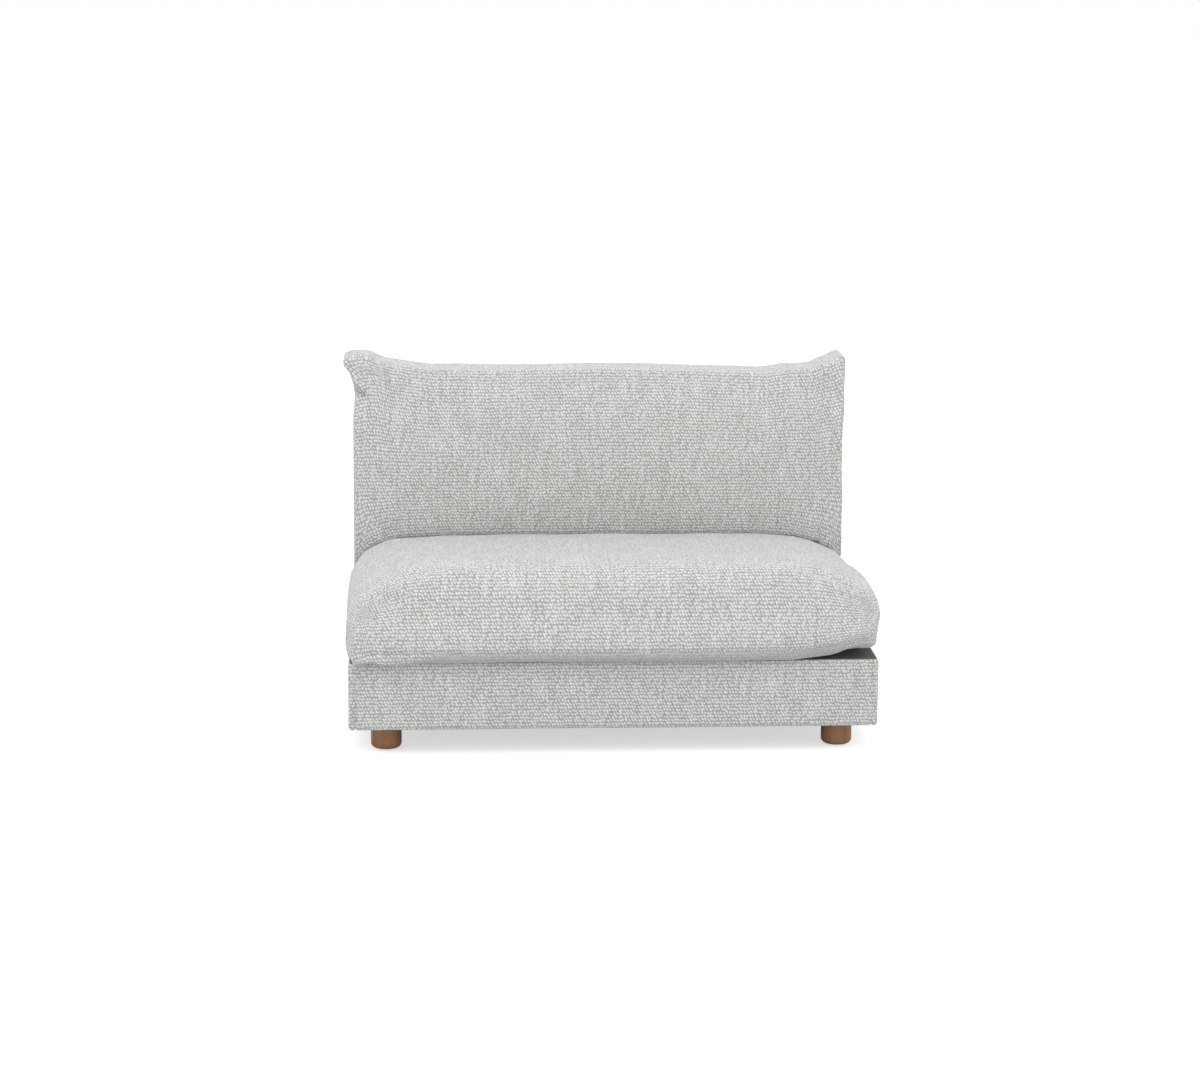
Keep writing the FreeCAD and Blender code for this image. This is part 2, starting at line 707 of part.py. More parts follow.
pillow_low = f"({seat_rear_top} + rest_gap)"
pillow_high = f"({pillow_low} + back_cushion_height)"
pillow_half = "(back_cushion_width / 2)"


def before(height, reach):
    """A place in front of the leaning back, a reach out from it."""
    return (lean(height, f"(0 - rest_gap - {reach})"), height)


def back_section(row):
    """Corners of one section, from the foot of the rear face round to the underside."""
    high = f"({pillow_high} + {BACK_EAR_SHARES[row]} * ear_rise)"
    face = f"(back_cushion_thick + {BACK_CROWN_SHARES[row]} * back_cushion_crown)"
    near = f"(1 - {DIAGONAL_SHARE})"
    return {
        "corners": [
            before(pillow_low, "0"), before(f"({high} - back_cushion_roll)", "0"),
            before(high, "back_cushion_roll"), before(high, "back_cushion_thick"),
            before(f"({pillow_low} + back_cushion_under)", "back_cushion_thick"),
            before(pillow_low, "(back_cushion_thick - back_cushion_under)"),
        ],
        "bends": {
            1: before(f"({high} - {near} * back_cushion_roll)", f"{near} * back_cushion_roll"),
            3: before(f"(({high} + {pillow_low} + back_cushion_under) / 2)", face),
            4: before(f"({pillow_low} + {near} * back_cushion_under)",
                      f"(back_cushion_thick - {near} * back_cushion_under)"),
        },
    }


back_loft = lofted("back_loft", BACK_STATION_SHARES, "(back_cushion_width + 2 * ear_reach)",
                   lambda row: back_section(row)["corners"], lambda row: back_section(row)["bends"])
ear_half = f"({pillow_half} + ear_reach)"
ear_top = f"({pillow_high} + ear_rise)"
ear_near = f"(1 - {DIAGONAL_SHARE}) * ear_round"
waist = f"({pillow_half} - back_draw_in)"
waist_height = f"(({pillow_low} + {pillow_high}) / 2)"
back_outline = slab("back_outline", "XZ", [
    (f"ear_round - {pillow_half}", pillow_low), (f"{pillow_half} - ear_round", pillow_low),
    (pillow_half, f"{pillow_low} + ear_round"), (ear_half, f"{ear_top} - ear_round"),
    (f"{ear_half} - ear_round", ear_top), (f"ear_round - {ear_half}", ear_top),
    (f"0 - {ear_half}", f"{ear_top} - ear_round"),
    (f"0 - {pillow_half}", f"{pillow_low} + ear_round"),
], f"0 - {rear}", f"{rear} - {seat_front}", {
    1: (f"{pillow_half} - {ear_near}", f"{pillow_low} + {ear_near}"),
    2: (waist, waist_height),
    3: (f"{ear_half} - {ear_near}", f"{ear_top} - {ear_near}"),
    5: (f"{ear_near} - {ear_half}", f"{ear_top} - {ear_near}"),
    6: (f"0 - {waist}", waist_height),
    7: (f"{ear_near} - {pillow_half}", f"{pillow_low} + {ear_near}"),
})
back_form_cushion = join("Common", "back_form_cushion", back_loft, back_outline)

fill_low = f"({pillow_low} + back_core_margin)"
fill_high = f"({pillow_high} - back_core_margin)"
fill_out = "(back_cushion_thick - back_core_margin)"
fill_half = f"({waist} - back_core_margin)"
node("back_fibre_fill", slab("back_fibre_fill", "YZ", [
    before(fill_low, "back_core_margin"), before(fill_high, "back_core_margin"),
    before(fill_high, fill_out), before(fill_low, fill_out),
], f"0 - {fill_half}", f"2 * {fill_half}"))
node("back_cushion_cover", join("Cut", "back_cushion_cover", back_form_cushion,
                                nodes["back_fibre_fill"]))

# Check and write

doc.recompute()
for item in doc.Objects:
    if "Invalid" in item.State or "Error" in item.State:
        raise RuntimeError(f"{item.Label} failed")
for label, item in nodes.items():
    if item.Shape.isNull() or not item.Shape.isValid():
        raise RuntimeError(f"{label} has no valid shape")
    item.Shape.exportStep(f"parts/{label}.step")
    print(label, len(item.Shape.Solids))
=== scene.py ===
import math

import bmesh
import bpy
import numpy as np
from mathutils import Matrix, Vector, noise
from mathutils.bvhtree import BVHTree


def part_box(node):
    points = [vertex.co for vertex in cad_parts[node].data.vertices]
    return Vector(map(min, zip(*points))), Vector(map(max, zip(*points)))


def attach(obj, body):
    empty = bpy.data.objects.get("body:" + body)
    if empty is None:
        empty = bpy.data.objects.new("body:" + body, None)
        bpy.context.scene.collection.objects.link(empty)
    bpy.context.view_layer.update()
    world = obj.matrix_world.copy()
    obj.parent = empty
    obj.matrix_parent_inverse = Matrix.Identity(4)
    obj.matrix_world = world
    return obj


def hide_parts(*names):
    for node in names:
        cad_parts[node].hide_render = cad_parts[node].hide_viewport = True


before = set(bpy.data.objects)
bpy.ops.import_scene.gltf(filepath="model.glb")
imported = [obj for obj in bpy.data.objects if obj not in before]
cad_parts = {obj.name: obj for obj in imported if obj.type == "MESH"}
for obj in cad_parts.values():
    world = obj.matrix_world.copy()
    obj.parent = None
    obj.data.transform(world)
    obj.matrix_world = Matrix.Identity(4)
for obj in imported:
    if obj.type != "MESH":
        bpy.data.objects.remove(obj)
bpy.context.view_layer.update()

# Frame timber: planed softwood boards stand on edge and are butted and glued into a box, with
# a centre rail under the webbing. The rails of the back are the same stock, screwed to its posts.


class Wire:
    """A shader socket. Sums written with it add the maths nodes that work them out."""

    def __init__(self, graph, socket):
        self.graph = graph
        self.socket = socket

    def of(self, operation, *values):
        return self.graph.node("Math", {"operation": operation}, (self, *values))

    def __add__(self, other):
        return self.of("ADD", other)

    def __sub__(self, other):
        return self.of("SUBTRACT", other)

    def __rsub__(self, other):
        return self.graph.node("Math", {"operation": "SUBTRACT"}, (other, self))

    def __mul__(self, other):
        return self.of("MULTIPLY", other)

    def __truediv__(self, other):
        return self.of("DIVIDE", other)

    def __pow__(self, other):
        return self.of("POWER", other)

    __radd__ = __add__
    __rmul__ = __mul__


class Graph:
    """A tree of shader nodes: node() adds one to it and gives its output."""

    def __init__(self, tree):
        self.tree = tree

    def feed(self, socket, value):
        """Links a socket to an output, or gives it a plain value."""
        if isinstance(value, Wire):
            self.tree.links.new(value.socket, socket)
        else:
            socket.default_value = value

    def node(self, kind, settings, values, output=0):
        """Sets a new node's settings, then its sockets, given in order or by name."""
        node = self.tree.nodes.new("ShaderNode" + kind)
        for name, setting in settings.items():
            setattr(node, name, setting)
        for key, value in values.items() if isinstance(values, dict) else enumerate(values):
            self.feed(node.inputs[key], value)
        return Wire(self, node.outputs[output])


class Finish(Graph):
    """A material in the making. Its plain settings are named as the shader names them."""

    def __init__(self, name, **settings):
        self.material = bpy.data.materials.new(name)
        self.material.use_nodes = True
        super().__init__(self.material.node_tree)
        self.shader = self.tree.nodes["Principled BSDF"]
        for key, value in settings.items():
            self.shader.inputs[key.replace("_", " ").title()].default_value = value

    def place(self, stretch=(1, 1, 1)):
        """The place on the object, in metres, squeezed or drawn out along each axis."""
        spot = self.node("TexCoord", {}, {}, "Object")
        return self.node("Mapping", {}, {"Vector": spot, "Scale": stretch})

    def split(self, vector):
        """The three parts of a place."""
        parts = self.node("SeparateXYZ", {}, {"Vector": vector}).socket.node.outputs
        return [Wire(self, part) for part in parts]

    def cloud(self, spot, scale, detail):
        """Soft clouds from 0 to 1."""
        return self.node("TexNoise", {}, {"Vector": spot, "Scale": scale, "Detail": detail})

    def blend(self, share, first, second):
        """Mixes two colours by a share from 0 to 1."""
        return self.node("Mix", {"data_type": "RGBA"}, {0: share, 6: first, 7: second}, 2)

    def coat(self, colour, height=None, depth=0):
        """Puts a colour, and a relief of a depth in metres, on the surface."""
        self.feed(self.shader.inputs["Base Color"], colour)
        if height is not None:
            relief = self.node("Bump", {}, {"Height": height, "Distance": depth, "Strength": 1})
            self.feed(self.shader.inputs["Normal"], relief)
        return self.material


SCREEN_GAMMA = 2.2


def shade(red, green, blue):
    """A colour as seen on a screen, from 0 to 255, as the light that a surface gives back."""
    return tuple((level / 255) ** SCREEN_GAMMA for level in (red, green, blue)) + (1,)


def dress(material, *names):
    """Gives pieces of the frame their finish."""
    for name in names:
        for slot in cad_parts[name].material_slots:
            slot.material = material


PINE, PINE_DARK = shade(226, 198, 152), shade(184, 142, 94)
GRAIN_STRETCH = 0.05
BROAD_FIGURE = 5
YEAR_RINGS = 40
RING_SHARE = 0.45


def pine(name, stretch):
    """Planed softwood with its grain along the axis that is drawn out."""
    wood = Finish(name, roughness=0.6)
    grain = wood.cloud(wood.place(stretch), scale=60, detail=6)
    broad = wood.place(tuple(share / BROAD_FIGURE for share in stretch))
    figure = wood.cloud(broad, scale=40, detail=2)
    rings = (figure * YEAR_RINGS).of("SINE") * 0.5 + 0.5
    lines = rings * RING_SHARE + grain * (1 - RING_SHARE)
    return wood.coat(wood.blend(lines, PINE, PINE_DARK), grain, depth=0.0004)


dress(pine("pine_across", (GRAIN_STRETCH, 1, 1)), "front_rail", "rear_rail", "seat_rear_rail",
      "back_top_rail", "back_tack_rail")
dress(pine("pine_along", (1, GRAIN_STRETCH, 1)), "side_rail_left", "side_rail_right",
      "centre_rail")
dress(pine("pine_upright", (1, 1, GRAIN_STRETCH)), "back_centre_post")

# Plywood parts: the shaped end posts of the back, the gussets that tie them to the base and the
# foot plates are cut from birch plywood, which shows its plies on the sawn edges.

BIRCH, BIRCH_DARK = shade(222, 196, 154), shade(160, 118, 78)
PLY = 0.0014
PLY_SHARE = 0.35
FACE_STRETCH = 0.06


def plywood(name, layers, stretch):
    """Birch plywood: layers is 1 along the axis that its plies are stacked on."""
    board = Finish(name, roughness=0.55)
    parts = board.split(board.place(layers))
    stack = parts[0] + parts[1] + parts[2]
    ply = (stack * (math.pi / PLY)).of("SINE") * 0.5 + 0.5
    grain = board.cloud(board.place(stretch), scale=55, detail=5)
    lines = grain * 0.6 + ply * PLY_SHARE
    return board.coat(board.blend(lines, BIRCH, BIRCH_DARK), grain, depth=0.0003)


dress(plywood("plywood_upright", (1, 0, 0), (1, 1, FACE_STRETCH)), "back_post_left",
      "back_post_right", "gusset_left", "gusset_right")
dress(plywood("plywood_flat", (0, 0, 1), (FACE_STRETCH, 1, 1)), "foot_plate_front_left",
      "foot_plate_front_right", "foot_plate_rear_left", "foot_plate_rear_right")

# Outer board: a thin hard fibreboard panel, cut square and stapled behind the posts of the back
# frame. It carries the wadding and the cover of the rear.

fibre = Finish("fibreboard", roughness=0.7)
flecks = fibre.cloud(fibre.place(), scale=420, detail=4)
board_brown = fibre.blend(flecks, shade(150, 112, 72), shade(112, 78, 46))
dress(fibre.coat(board_brown, flecks, depth=0.0002), "back_outer_board")

# Fastenings: steel bolts and screw-in inserts with a zinc plating, which has a dull mottle. The
# bolts hold the feet, and four more inserts under the base join it to the next module.

zinc = Finish("zinc_steel", metallic=1)
mottle = zinc.cloud(zinc.place(), scale=300, detail=2)
zinc.feed(zinc.shader.inputs["Roughness"], mottle * 0.3 + 0.25)
dress(zinc.coat(zinc.blend(mottle, shade(200, 200, 196), shade(168, 170, 172))),
      "foot_bolts", "foot_inserts", "joining_inserts")

# Glides: discs punched from pressed felt and glued under the feet, so that the module slides
# on the floor without a mark.

felt = Finish("felt", roughness=1)
hairs = felt.cloud(felt.place(), scale=900, detail=5)
dress(felt.coat(felt.blend(hairs, shade(104, 98, 92), shade(70, 66, 62)), hairs, depth=0.0008),
      "foot_glides")

# Feet: turned hardwood pegs with a walnut stain and a satin lacquer. The lower edge is rounded,
# and a bore down the middle takes the bolt.

FOOT_ROUND = 0.012
FOOT_BORE = 0.0042
FOOT_BORE_DEPTH = 0.032
FOOT_SIDES = 64
FOOT_SMOOTH = math.radians(35)
UPWARD = 0.9
# A hair's breadth, within which two places count as one.
HAIR = 1e-5


def alone(piece):
    """Selects one object and makes it the active one."""
    bpy.ops.object.select_all(action="DESELECT")
    piece.select_set(True)
    bpy.context.view_layer.objects.active = piece


def choose(kind, test):
    """In edit mode, selects just the edges or faces that pass a test."""
    bpy.ops.mesh.select_mode(type=kind)
    bpy.ops.mesh.select_all(action="DESELECT")
    mesh = bmesh.from_edit_mesh(bpy.context.edit_object.data)
    for item in mesh.edges if kind == "EDGE" else mesh.faces:
        if test(item):
            item.select_set(True)
    bmesh.update_edit_mesh(bpy.context.edit_object.data)


def middle(edge):
    """The middle of an edge."""
    return (edge.verts[0].co + edge.verts[1].co) / 2


def settle(piece, name, material=None):
    """Puts a piece's place into its mesh, and gives it its name and finish."""
    alone(piece)
    bpy.ops.object.transform_apply(location=True, rotation=True, scale=True)
    piece.name = name
    piece.data.name = name
    if material:
        piece.data.materials.clear()
        piece.data.materials.append(material)
    return piece


def carry(piece, body, slot, *nodes):
    """Hangs a piece on the body that it rides on, and hides the parts that it stands for. slot is
    not used.
    """
    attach(piece, body)
    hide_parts(*nodes)


walnut = Finish("walnut_stain", roughness=0.38, coat_weight=0.25, coat_roughness=0.25)
fine = walnut.cloud(walnut.place((1, 1, 0.07)), scale=320, detail=5)
broad = walnut.cloud(walnut.place((1, 1, 0.05)), scale=70, detail=3)
brown = walnut.blend(fine * 0.4 + broad * 0.6, shade(100, 62, 38), shade(178, 128, 90))
walnut_stain = walnut.coat(brown, fine, depth=0.00015)

low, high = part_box("foot_front_left")
centre = (low + high) / 2
radius = (high.x - low.x) / 2
bpy.ops.object.select_all(action="DESELECT")
bpy.ops.mesh.primitive_cylinder_add(vertices=FOOT_SIDES, radius=radius, depth=high.z - low.z,
                                    location=centre)
foot = settle(bpy.context.object, "turned_foot", walnut_stain)
bpy.ops.object.mode_set(mode="EDIT")
choose("EDGE", lambda edge: middle(edge).z < low.z + HAIR)
bpy.ops.mesh.bevel(offset=FOOT_ROUND, segments=8, profile=0.5)
choose("FACE", lambda face: face.normal.z > UPWARD)
bpy.ops.mesh.inset(thickness=radius - FOOT_BORE)
bpy.ops.mesh.extrude_region_move(TRANSFORM_OT_translate={"value": (0, 0, -FOOT_BORE_DEPTH)})
bpy.ops.object.mode_set(mode="OBJECT")
bpy.ops.object.shade_smooth_by_angle(angle=FOOT_SMOOTH)
for corner in ("front_left", "front_right", "rear_left", "rear_right"):
    peg = foot.copy()
    peg.data = foot.data.copy()
    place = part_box(f"foot_{corner}")
    peg.data.transform(Matrix.Translation((place[0] + place[1]) / 2 - centre))
    bpy.context.scene.collection.objects.link(peg)
    peg.name = f"turned_foot_{corner}"
    carry(peg, "base", "foot_wood", f"foot_{corner}")
bpy.data.objects.remove(foot)

# Webbing: rubber-cored elastic straps woven over and under each other under the seat and behind
# the back cushion. Fine ribs run across each strap.

RIB = 0.0024


def elastic(name, along):
    """Elastic webbing: along is 1 on the axis that the strap runs on."""
    band = Finish(name, roughness=0.85)
    parts = band.split(band.place(along))
    ribs = ((parts[0] + parts[1] + parts[2]) * (math.tau / RIB)).of("SINE") * 0.5 + 0.5
    knots = band.cloud(band.place(), scale=600, detail=2)
    charcoal = band.blend(ribs * 0.5 + knots * 0.5, shade(30, 30, 33), shade(74, 74, 78))
    return band.coat(charcoal, ribs, depth=0.0004)


dress(elastic("webbing_across", (1, 0, 0)), "seat_webbing_cross", "back_webbing_cross")
dress(elastic("webbing_along", (0, 1, 0)), "seat_webbing_long")
dress(elastic("webbing_upright", (0, 0, 1)), "back_webbing_long")

# Wadding and foam: polyester wadding wraps the rails and the back frame under the cover, foam
# pads the front of the back, and a foam core and a fibre fill are inside the cushions.


def filling(name, light, dark, grain):
    """Soft stuff with an uneven surface of fibres or cells."""
    stuff = Finish(name, roughness=1)
    tufts = stuff.cloud(stuff.place(), grain, detail=5)
    return stuff.coat(stuff.blend(tufts, light, dark), tufts, depth=0.002)


dress(filling("wadding", shade(246, 246, 244), shade(222, 222, 220), grain=90),
      "base_wadding_front", "base_wadding_rear", "base_wadding_left", "base_wadding_right",
      "back_wadding_top", "back_wadding_left", "back_wadding_right", "back_wadding_rear",
      "back_fibre_fill")
dress(filling("foam", shade(240, 228, 186), shade(222, 206, 158), grain=700),
      "back_foam", "seat_foam_core")

# Base cover: four panels of the woven cloth, sewn near the corners and drawn over the wadding.
# The cloth turns in over the rails and under them. Each seam pulls the cloth in a little.

WEFT = 0.0085
WARP = 0.0075
LOOSENESS = 0.42
WANDER = (0.003, 0.0022, 0)
FLOAT_ROUND = 2.3
ROW_ROUND = 0.7
SLUB_SCALE = (130, 14, 1)
PATCH_SCALE = (26, 9, 1)
FUZZ_SCALE = 420
# Shares of the cloth's tone. The float's rise and the rows give painted shade in the gaps and a
# painted highlight on the float tops. Chance, slub, patch and fuzz are the yarn's own uneven tone.
FLOAT_SHADE_SHARE = 0.8
ROW_SHADE_SHARE = 0.12
CHANCE_SHARE = 0.2
SLUB_SHARE = 0.7
PATCH_SHARE = 0.25
FUZZ_SHARE = 0.9
TONE_DROP = 0.04
RELIEF = 0.0015
CLOTH_DARK, CLOTH_LIGHT = shade(160, 160, 157), shade(236, 236, 234)
BASE_CELLS = (66, 47, 9)
COVER_THICK = 0.003
COVER_SMOOTH = math.radians(60)
SEAM_PLACE = 0.635
SEAM_DEPTH = 0.002
SEAM_REACH = 0.005
COVER_FULLNESS = 0.001
WAVE = 0.0012
WAVE_LENGTH = 0.17
SHARP_EDGE = math.radians(57)
EDGE_ROUND = 0.0075
RIM_DROP = 0.0025
RIM_EDGE = 0.002
RIM_SLOPE = 0.004
RIM_TOP = 0.006
RIM_FADE = 0.003
RIM_END = 0.32
TURN_IN = 0.05
TOP_TURN_IN = 0.016
TOP_SKIN = 0.001


def woven(name, dark, light, relief):
    """The cover cloth: plump slubby floats in rows, each row half a float on from the last."""
    cloth = Finish(name, roughness=0.96, sheen_weight=0.25, sheen_roughness=0.5)
    lay = cloth.node("UVMap", {"uv_map": "weave"}, {})
    wander = cloth.node("TexNoise", {}, {"Vector": lay, "Scale": 24, "Detail": 3}, "Color")
    wandered = cloth.node("VectorMath", {"operation": "MULTIPLY_ADD"}, (wander, WANDER, lay))
    across, along, _ = cloth.split(wandered)
    rows = along / WEFT
    lattice = cloth.node("CombineXYZ", {}, (across / WARP + rows * 0.5, rows, 0.0))
    tufts = {"voronoi_dimensions": "2D", "feature": "F1"}
    setting = {"Vector": lattice, "Scale": 1, "Randomness": LOOSENESS}
    gap = cloth.node("TexVoronoi", tufts, setting, "Distance")
    chance = cloth.split(cloth.node("TexVoronoi", tufts, setting, "Color"))[0]
    rise = (1 - gap * FLOAT_ROUND).of("MAXIMUM", 0.0) ** 0.5
    drawn_out = cloth.node("Mapping", {}, {"Vector": lay, "Scale": SLUB_SCALE})
    slub = cloth.cloud(drawn_out, scale=1, detail=4)
    broad = cloth.node("Mapping", {}, {"Vector": lay, "Scale": PATCH_SCALE})
    patch = cloth.cloud(broad, scale=1, detail=2)
    fuzz = cloth.cloud(lay, scale=FUZZ_SCALE, detail=4)
    row_shade = ((rows + (0.5 - LOOSENESS / 2)).of("FRACT") * math.pi).of("SINE") ** ROW_ROUND
    # Lighter on the float tops and darker in the gaps between floats and between rows: painted
    # highlight and painted shade of the weave's relief, over the yarn's own uneven tone.
    tone = (rise * FLOAT_SHADE_SHARE + row_shade * ROW_SHADE_SHARE + chance * CHANCE_SHARE
            + (slub - 0.5) * SLUB_SHARE + (patch - 0.5) * PATCH_SHARE
            + (fuzz - 0.5) * FUZZ_SHARE - TONE_DROP)
    colour = cloth.blend(tone.of("MAXIMUM", 0.0).of("MINIMUM", 1.0), dark, light)
    return cloth.coat(colour, rise * (chance * 0.4 + 0.6) + fuzz * 0.4, relief)


cover_cloth = woven("cover_cloth", CLOTH_DARK, CLOTH_LIGHT, RELIEF)


def block(name, low, high, cells):
    """A box of even squares, counted along each axis."""
    bpy.ops.object.select_all(action="DESELECT")
    bpy.ops.mesh.primitive_cube_add(size=1, location=(low + high) / 2)
    form = bpy.context.object
    form.scale = high - low
    settle(form, name)
    bpy.ops.object.mode_set(mode="EDIT")
    for axis, count in enumerate(cells):
        def runs_along(edge):
            return abs(edge.verts[1].co[axis] - edge.verts[0].co[axis]) > HAIR
        choose("EDGE", runs_along)
        bpy.ops.mesh.subdivide(number_cuts=count - 1)
    bpy.ops.object.mode_set(mode="OBJECT")
    return form


def round_edges(form, test):
    """Rounds the sharp edges of a form whose middles pass a test."""
    alone(form)
    bpy.ops.object.mode_set(mode="EDIT")
    choose("EDGE", lambda edge: edge.calc_face_angle(0) > SHARP_EDGE and test(middle(edge)))
    bpy.ops.mesh.bevel(offset=EDGE_ROUND, segments=4, profile=0.5)
    bpy.ops.object.mode_set(mode="OBJECT")


def lay_flat(piece):
    """Lays the weave on a box, level on each side and with its rows running round it."""
    layer = piece.data.uv_layers.new(name="weave")
    for face in piece.data.polygons:
        normal = face.normal
        for loop in face.loop_indices:
            spot = piece.data.vertices[piece.data.loops[loop].vertex_index].co
            if abs(normal.x) > max(abs(normal.y), abs(normal.z)):
                layer.data[loop].uv = spot.y, spot.z
            elif abs(normal.z) > abs(normal.y):
                layer.data[loop].uv = spot.x, spot.y
            else:
                layer.data[loop].uv = spot.x, spot.z


def unevenness(spot, size):
    """A smooth wander from -1 to 1 over a size in metres."""
    return noise.noise(Vector(spot) / size)


def part_of(span, reached):
    """How much of a span is reached, from 0 to 1."""
    return min(1, max(0, reached / span))


def panel(name, form, cuts, rim=None, open_top=False):
    """One panel of a cover: its form cut down, pulled in at its seams and given a thickness.
    rim holds the low and high corners of a box whose top edge drops inwards."""
    piece = form.copy()
    piece.data = form.data.copy()
    bpy.context.scene.collection.objects.link(piece)
    settle(piece, name, cover_cloth)
    bpy.ops.object.mode_set(mode="EDIT")
    for side in (-1, 1):
        for reach in (-1, -0.5, 0, 0.5, 1):
            place = side * (SEAM_PLACE + reach * SEAM_REACH)
            bpy.ops.mesh.select_all(action="SELECT")
            bpy.ops.mesh.bisect(plane_co=(place, 0, 0), plane_no=(1, 0, 0))
    for place, normal in cuts:
        bpy.ops.mesh.select_all(action="SELECT")
        bpy.ops.mesh.bisect(plane_co=place, plane_no=normal, clear_outer=True)
    if open_top:
        inner = rim[0].y + TOP_TURN_IN
        bpy.ops.mesh.select_all(action="SELECT")
        bpy.ops.mesh.bisect(plane_co=(0, inner, 0), plane_no=(0, 1, 0))
        choose("FACE", lambda face: face.calc_center_median().z > rim[1].z - TOP_SKIN
               and face.calc_center_median().y > inner)
        bpy.ops.mesh.delete(type="FACE")
    bpy.ops.object.mode_set(mode="OBJECT")
    moves = []
    for point in piece.data.vertices:
        if rim and point.co.y < RIM_END:
            inside = min(rim[1].x - abs(point.co.x), point.co.y - rim[0].y) - RIM_EDGE
            top = part_of(RIM_FADE, point.co.z - rim[1].z + RIM_TOP)
            point.co.z -= RIM_DROP * top * part_of(RIM_SLOPE, inside)
        pull = max(0, 1 - abs(abs(point.co.x) - SEAM_PLACE) / SEAM_REACH)
        wave = COVER_FULLNESS + WAVE * max(0, unevenness(point.co, WAVE_LENGTH))
        wave *= 1 - max(0, point.normal.z)
        moves.append(point.normal * (wave * (1 - pull) - SEAM_DEPTH * pull * pull))
    for point, move in zip(piece.data.vertices, moves):
        point.co += move
    thick = piece.modifiers.new("thickness", "SOLIDIFY")
    thick.thickness = COVER_THICK
    thick.offset = -1
    bpy.ops.object.modifier_apply(modifier=thick.name)
    lay_flat(piece)
    bpy.ops.object.shade_smooth_by_angle(angle=COVER_SMOOTH)
    carry(piece, "base", "cover_cloth", name.replace("panel", "cover"))


low = Vector((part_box("base_cover_left")[0].x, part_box("base_cover_front")[0].y,
              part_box("base_cover_front")[0].z))
high = Vector((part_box("base_cover_right")[1].x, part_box("base_cover_rear")[1].y,
               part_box("base_cover_front")[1].z))
base_box = (low, high)
base_form = block("base_form", low, high, BASE_CELLS)
round_edges(base_form, lambda spot: spot.z < high.z - HAIR or spot.y < high.y - HAIR)
LEFT_OF_SEAM = ((-SEAM_PLACE, 0, 0), (-1, 0, 0))
RIGHT_OF_SEAM = ((SEAM_PLACE, 0, 0), (1, 0, 0))
BEYOND_LEFT_SEAM = ((-SEAM_PLACE, 0, 0), (1, 0, 0))
BEYOND_RIGHT_SEAM = ((SEAM_PLACE, 0, 0), (-1, 0, 0))
BEHIND_TURN_IN = ((0, low.y + TURN_IN, 0), (0, 1, 0))
BEFORE_TURN_IN = ((0, high.y - TURN_IN, 0), (0, -1, 0))
panel("base_panel_front", base_form, (LEFT_OF_SEAM, RIGHT_OF_SEAM, BEHIND_TURN_IN),
      rim=base_box, open_top=True)
panel("base_panel_rear", base_form, (LEFT_OF_SEAM, RIGHT_OF_SEAM, BEFORE_TURN_IN),
      rim=base_box)
panel("base_panel_left", base_form, (BEYOND_LEFT_SEAM,), rim=base_box)
panel("base_panel_right", base_form, (BEYOND_RIGHT_SEAM,), rim=base_box)
bpy.data.objects.remove(base_form)

# Seat deck: a dark grey deck cloth, drawn tight over the webbing and stapled to the rails. It laps
# over the cover's edge at the front and the ends, where the dark band is painted shade under the
# seat cushion, and the seat cushion lies on it.

THREAD = 0.0016
DECK_SHADE_LAP = 0.009
DECK_RISE = 0.0015
DECK_THICK = 0.003


def plain_cloth(name, light, dark):
    """Thin cloth of even threads."""
    cloth = Finish(name, roughness=0.95)
    across, along, _ = cloth.split(cloth.place())
    turn = math.pi / THREAD
    weave = (across * turn).of("SINE") * (along * turn).of("SINE") * 0.5 + 0.5
    fluff = cloth.cloud(cloth.place(), scale=260, detail=4)
    colour = cloth.blend(weave * 0.5 + fluff * 0.5, dark, light)
    return cloth.coat(colour, weave, depth=0.0003)


def drawn_tight(name, node, material):
    """A flat cloth of even squares, the size of a node's box and level with its upper face."""
    low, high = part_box(node)
    bpy.ops.object.select_all(action="DESELECT")
    bpy.ops.mesh.primitive_plane_add(size=1, location=(0, 0, high.z))
    cloth = bpy.context.object
    cloth.scale = (high.x - low.x, high.y - low.y, 1)
    cloth.location = ((low.x + high.x) / 2, (low.y + high.y) / 2, high.z)
    settle(cloth, name, material)
    bpy.ops.object.mode_set(mode="EDIT")
    bpy.ops.mesh.subdivide(number_cuts=40)
    bpy.ops.object.mode_set(mode="OBJECT")
    return cloth


def thicken(cloth, thickness):
    """Gives a sheet its thickness, under the side that shows."""
    alone(cloth)
    thick = cloth.modifiers.new("thickness", "SOLIDIFY")
    thick.thickness = thickness
    thick.offset = -1
    bpy.ops.object.modifier_apply(modifier=thick.name)


deck_finish = plain_cloth("deck_cloth", shade(128, 128, 130), shade(76, 76, 78))
deck = drawn_tight("deck_cloth", "seat_deck", deck_finish)
deck_low, deck_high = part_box("seat_deck")
deck_size = deck_high - deck_low
# The deck is drawn wider and further forward than its part, over the cover's edge: painted shade.
for point in deck.data.vertices:
    point.co.x *= 1 + 2 * DECK_SHADE_LAP / deck_size.x
    point.co.y -= DECK_SHADE_LAP * (deck_high.y - point.co.y) / deck_size.y
    point.co.z += DECK_RISE
thicken(deck, DECK_THICK)
carry(deck, "base", "deck_cloth", "seat_deck")

# Dust cloth: black non-woven cloth stapled under the frame, cut back in the corners round the
# feet so that the foot plates and their inserts stay bare.

DUST_LAP = 0.006

